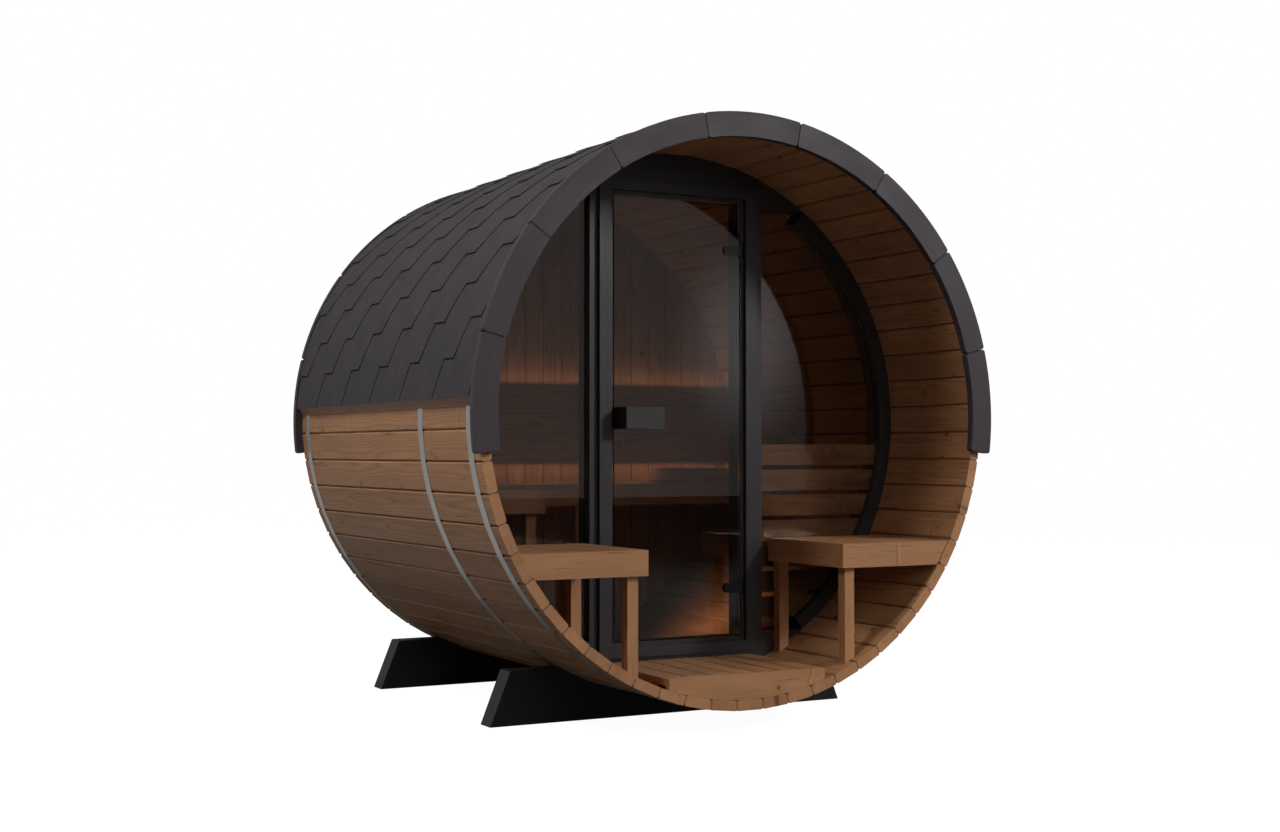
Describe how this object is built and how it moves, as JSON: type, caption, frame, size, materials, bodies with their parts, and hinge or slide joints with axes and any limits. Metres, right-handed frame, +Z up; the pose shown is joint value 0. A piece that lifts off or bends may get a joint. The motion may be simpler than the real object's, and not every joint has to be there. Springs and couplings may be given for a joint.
{
  "type": "barrel sauna",
  "caption": "Barrel sauna of timber staves on two cradles, with an open porch, a glazed front wall with a glass door, a shingled roof and benches inside and out.",
  "frame": {"origin": "on the ground, under the middle of the barrel", "axes": "+Z is up, the barrel's axis runs along Y, and the porch and the door face -Y; +X is to the right of someone who looks at the door"},
  "size_m": [2.327, 2.0956, 2.3808],
  "materials": {
    "spruce_staves": "heat-treated spruce, planed, oiled",
    "spruce_cabin": "heat-treated spruce, planed",
    "spruce_porch": "heat-treated spruce, planed, oiled",
    "spruce_roof": "heat-treated spruce, planed",
    "painted_timber": "black paint over planed timber",
    "stained_timber": "dark stain over planed timber",
    "roof_shingle": "bitumen shingles with black mineral grit",
    "hoop_steel": "stainless steel strip",
    "tinted_glass": "grey tinted tempered glass",
    "black_metal": "glossy black enamel",
    "black_handle": "black painted wood",
    "light_strip": "warm white diffuser"
  },
  "bodies": {
    "root": {"backrest": "spruce_cabin", "cabin_bench_legs": "spruce_cabin", "cradle_front": "painted_timber", "cradle_rear": "painted_timber", "door_casing": "painted_timber", "door_post_left": "painted_timber", "door_post_right": "painted_timber", "duckboard": "spruce_porch", "fascia_front": "stained_timber", "fascia_rear": "stained_timber", "header_panel": "painted_timber", "headrest": "spruce_cabin", "hinge_leaves": "black_metal", "hoop_front": "hoop_steel", "hoop_middle": "hoop_steel", "hoop_rear": "hoop_steel", "light_strips": "light_strip", "porch_bench_left": "spruce_porch", "porch_bench_right": "spruce_porch", "rear_bench": "spruce_cabin", "rear_wall": "spruce_cabin", "roof_covering": "roof_shingle", "roof_deck": "spruce_roof", "roof_edges": "spruce_roof", "side_bench": "spruce_cabin", "side_glass_left": "tinted_glass", "side_glass_right": "tinted_glass", "sill_panel": "painted_timber", "staves_bottom": "spruce_staves", "staves_lower_left": "spruce_staves", "staves_lower_right": "spruce_staves", "staves_side_left": "spruce_staves", "staves_side_right": "spruce_staves", "staves_top": "spruce_staves", "staves_upper_left": "spruce_staves", "staves_upper_right": "spruce_staves", "window_frame_left": "painted_timber", "window_frame_right": "painted_timber", "window_slats": "spruce_cabin"},
    "door": {"door_glass": "tinted_glass", "hinge_clamps": "black_metal", "handle_outer": "black_handle", "handle_inner": "black_handle"}
  },
  "joints": [
    {"name": "door_hinge", "type": "hinge", "parent": "root", "child": "door", "pos_m": [0.303, -0.4655, 1.2175], "axis": [0, 0, 1], "range_deg": [0, 100]}
  ]
}
